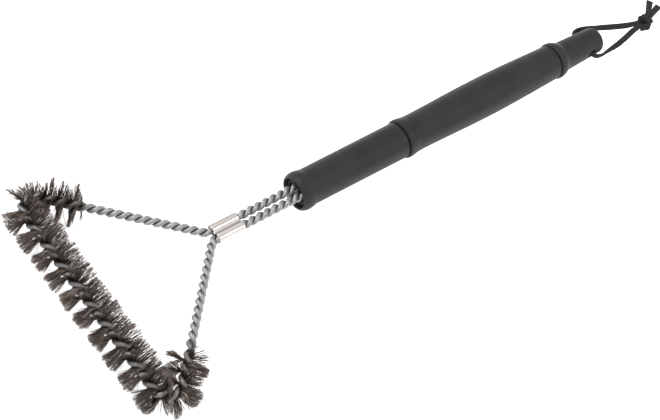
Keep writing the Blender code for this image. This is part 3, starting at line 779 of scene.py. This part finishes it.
def make_ferrule():
    """Two barrels pressed from one sheet, with a waist, rolled rims and a bore darkened by painted shade."""
    y = np.linspace(-1.0, 1.0, 150)

    def section(radius, waist):
        """Outline across the barrels, clockwise from the left end."""
        reach = BARREL_Y + radius
        spread = np.sin(y * math.pi / 2) * reach
        off = np.minimum(np.abs(np.abs(spread) - BARREL_Y), radius)
        round_part = np.sqrt(np.maximum(radius ** 2 - off ** 2, 0.0))
        waisted = np.maximum(round_part, waist + 0.05 * spread ** 2)
        top = np.where(np.abs(spread) < BARREL_Y, waisted, round_part)
        upper = np.column_stack((spread, top))
        lower = np.column_stack((spread[::-1], -top[::-1]))
        return np.vstack((upper, lower[1:-1]))

    stations = (
        (94.7, 3.12, 1.5), (94.45, 3.16, 1.52), (94.3, 3.28, 1.6), (94.3, 3.42, 1.7), (94.45, 3.52, 1.78),
        (94.8, 3.56, 1.8), (97.0, 3.55, 1.8), (100.0, 3.53, 1.78), (104.5, 3.52, 1.76), (109.0, 3.53, 1.78),
        (112.0, 3.55, 1.8), (114.2, 3.56, 1.8), (114.55, 3.52, 1.78), (114.7, 3.42, 1.7), (114.7, 3.28, 1.6),
        (114.55, 3.16, 1.52), (114.3, 3.12, 1.5), (104.5, 3.12, 1.5))
    rings = []
    for x, radius, waist in stations:
        outline = section(radius, waist)
        rings.append(np.column_stack((np.full(len(outline), x), outline)))
    sides = len(rings[0])
    points = np.vstack(rings)
    faces = ring_faces(len(rings), sides, closed_ends=False)
    last = (len(rings) - 1) * sides
    faces += [(last + j, last + (j + 1) % sides, (j + 1) % sides, j) for j in range(sides)]
    piece = make_piece("crimp_sleeve", place(points), faces, ferrule_material(), sharp=60)
    around = np.degrees(np.arctan2(points[:, 2], np.abs(points[:, 1]) - BARREL_Y)) * np.sign(points[:, 1])
    # Dark bands at set angles round each barrel: painted reflections of dark studio parts.
    painted_darkening = sum(
        depth * np.exp(-((around - angle) / width) ** 2)
        for angle, width, depth in (
            (58, 9, 0.85), (106, 8, 0.35), (138, 7, 0.7), (168, 8, 0.5), (34, 10, 0.85), (6, 8, 0.3),
            (-36, 8, 0.5), (-66, 7, 0.6), (-118, 7, 0.7), (-160, 10, 0.6)))
    # The inner rings of the bore: painted shade.
    bore = np.repeat([radius < 3.4 for _, radius, _ in stations], sides)
    add_attribute(piece, "painted_darkening", np.where(bore, 1.0, np.clip(painted_darkening, 0.0, 1.0)))
    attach(piece, "brush")
    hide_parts("crimp_ferrule")


# ---------------------------------------------------------------- handle

def turned(name, profile, material, node, closed=True):
    """Spin an (x, radius) profile about the handle's axis."""
    profile = np.asarray(profile, float)
    angle = np.linspace(0.0, math.tau, HANDLE_SIDES, endpoint=False)
    rings = np.stack([
        np.column_stack((np.full(HANDLE_SIDES, x), r * np.cos(angle), r * np.sin(angle)))
        for x, r in profile])
    faces = ring_faces(len(profile), HANDLE_SIDES, closed_ends=not closed)
    if closed:
        last = (len(profile) - 1) * HANDLE_SIDES
        faces += [(last + j, last + (j + 1) % HANDLE_SIDES, (j + 1) % HANDLE_SIDES, j)
                  for j in range(HANDLE_SIDES)]
    piece = make_piece(name, place(rings.reshape(-1, 3)), faces, material, sharp=EDGE_ANGLE)
    fix_normals(piece.data)
    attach(piece, "brush")
    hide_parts(node)
    return piece


def fix_normals(mesh):
    bm = bmesh.new()
    bm.from_mesh(mesh)
    bmesh.ops.recalc_face_normals(bm, faces=bm.faces)
    bm.to_mesh(mesh)
    bm.free()


def cut(piece, cutter, sharp=EDGE_ANGLE):
    """Take one closed mesh out of a piece, and drop the cutter."""
    bpy.context.collection.objects.link(cutter)
    modifier = piece.modifiers.new("cut", "BOOLEAN")
    modifier.operation = "DIFFERENCE"
    modifier.solver = "EXACT"
    modifier.object = cutter
    bpy.context.view_layer.update()
    shaped = piece.evaluated_get(bpy.context.evaluated_depsgraph_get())
    mesh = bpy.data.meshes.new_from_object(shaped)
    piece.modifiers.clear()
    piece.data = mesh
    mesh.shade_smooth()
    mesh.set_sharp_from_angle(angle=math.radians(sharp))
    bpy.data.objects.remove(cutter, do_unlink=True)


def loose_mesh(name, points, faces):
    mesh = bpy.data.meshes.new(name)
    mesh.from_pydata(np.asarray(points).tolist(), [], faces)
    fix_normals(mesh)
    return bpy.data.objects.new(name, mesh)


def line_to(a, b, count):
    return np.column_stack((np.linspace(a[0], b[0], count), np.linspace(a[1], b[1], count)))


def make_socket(material):
    """The plug in the mouth, with a rounded oval opening for the two rope ends."""
    profile = [(190.0, 0.4), (190.0, 10.4)]
    profile += list(line_to((186.0, 10.4), (161.8, 10.4), 5))
    profile += [(161.2, 10.2), (160.75, 9.8), (160.55, 9.4), (160.5, 9.0)]
    profile += list(line_to((160.5, 8.6), (160.5, 0.4), 9))
    piece = turned("wire_socket", profile, material, "handle_wire_socket", closed=False)
    angle = np.linspace(0.0, math.tau, SLOT_SIDES, endpoint=False)
    rings = []
    for x, radius in ((158.2, 5.0), (160.1, 4.5), (160.6, 4.15), (161.3, 3.85), (162.5, 3.7), (192.0, 3.7)):
        y = radius * np.cos(angle) + np.sign(np.cos(angle)) * BARREL_Y
        rings.append(np.column_stack((np.full(SLOT_SIDES, x), y, radius * np.sin(angle))))
    cut(piece, loose_mesh("slot_tool", place(np.vstack(rings)), ring_faces(len(rings), SLOT_SIDES)))


def make_sleeve(material):
    bead = smooth_curve(
        ((159.4, 10.75), (158.62, 11.0), (158.42, 11.6), (159.2, 12.65), (161.2, 13.52), (163.8, 13.8),
         (166.4, 13.45), (168.4, 12.92), (170.4, 12.74)), 8)
    profile = list(bead) + list(line_to((172.5, 12.72), (247.3, 13.0), 40))
    profile += [(247.7, 12.98), (248.0, 12.85), (248.2, 12.6), (248.25, 12.3), (248.25, BORE)]
    profile += list(line_to((246.0, BORE), (162.0, BORE), 6))
    turned("front_sleeve", profile, material, "handle_front_sleeve")


def make_grip(material):
    ring = smooth_curve(
        ((249.2, 12.9), (249.32, 13.6), (249.9, 14.05), (251.0, 14.2), (252.8, 14.12), (254.8, 13.84),
         (256.8, 13.5), (259.2, 13.26), (264.5, 13.13)), 8)
    x = np.linspace(268.0, 391.8, 70)
    share = (x - 270.0) / (392.4 - 270.0)
    swell = np.sin(math.pi * (np.clip(share, 0, 1) * 0.86 + 0.07)) ** 1.6
    body = np.column_stack((x, 13.1 * (1 - share) + 12.7 * share + 1.45 * swell))
    profile = [(249.2, BORE)] + list(ring) + list(body)
    profile += [(392.1, 12.9), (392.4, 12.75), (392.55, 12.45), (392.55, BORE)]
    profile += list(line_to((390.0, BORE), (252.0, BORE), 8))
    turned("middle_grip", profile, material, "handle_grip")


def make_cap(material):
    ring = smooth_curve(
        ((393.5, 12.6), (393.6, 13.1), (394.2, 13.55), (395.3, 13.72), (396.9, 13.62), (398.8, 13.15),
         (400.6, 12.3), (402.2, 11.6), (403.6, 11.24), (404.8, 11.1)), 8)
    body = line_to((405.5, 11.05), (436.6, 9.82), 52)
    angle = np.radians(np.linspace(8, 90, 12))
    end = np.column_stack((437.0 + 3.0 * np.sin(angle), 6.8 + 3.0 * np.cos(angle)))
    profile = [(400.4, 0.4), (400.4, BORE), (393.5, BORE)] + list(ring) + list(body) + list(end)
    profile += list(line_to((440.0, 5.6), (440.0, 0.4), 5))
    piece = turned("end_cap", profile, material, "handle_end_cap", closed=False)
    around = np.linspace(0.0, math.tau, HOLE_SIDES, endpoint=False)
    rings = []
    for y, radius in (
            (-13.0, 5.2), (-10.4, 3.8), (-9.9, 3.45), (-9.3, 3.2), (-8.2, 2.95), (8.2, 2.95), (9.3, 3.2),
            (9.9, 3.45), (10.4, 3.8), (13.0, 5.2)):
        rings.append(np.column_stack((
            HOLE_X + radius * np.cos(around), np.full(HOLE_SIDES, y), radius * np.sin(around))))
    cut(piece, loose_mesh("hole_tool", place(np.vstack(rings)), ring_faces(len(rings), HOLE_SIDES)), 50)


def make_handle():
    material = plastic_material()
    # The socket is the same plastic at half brightness: painted shade for its recess in the mouth.
    make_socket(plastic_material("wire_socket_look", 0.5))
    make_sleeve(material)
    make_grip(material)
    make_cap(material)
    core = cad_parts["handle_core"]
    core.data.materials.clear()
    core.data.materials.append(core_material())


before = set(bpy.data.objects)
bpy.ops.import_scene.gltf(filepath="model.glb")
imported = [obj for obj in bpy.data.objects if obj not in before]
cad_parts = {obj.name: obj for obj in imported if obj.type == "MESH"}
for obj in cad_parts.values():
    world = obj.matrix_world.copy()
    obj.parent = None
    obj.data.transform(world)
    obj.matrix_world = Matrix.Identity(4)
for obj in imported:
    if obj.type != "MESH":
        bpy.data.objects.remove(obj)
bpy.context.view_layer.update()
make_camera()
make_lace()
rope = Rope()
make_wires(rope)
make_bristles(rope)
make_ferrule()
make_handle()
make_studio()
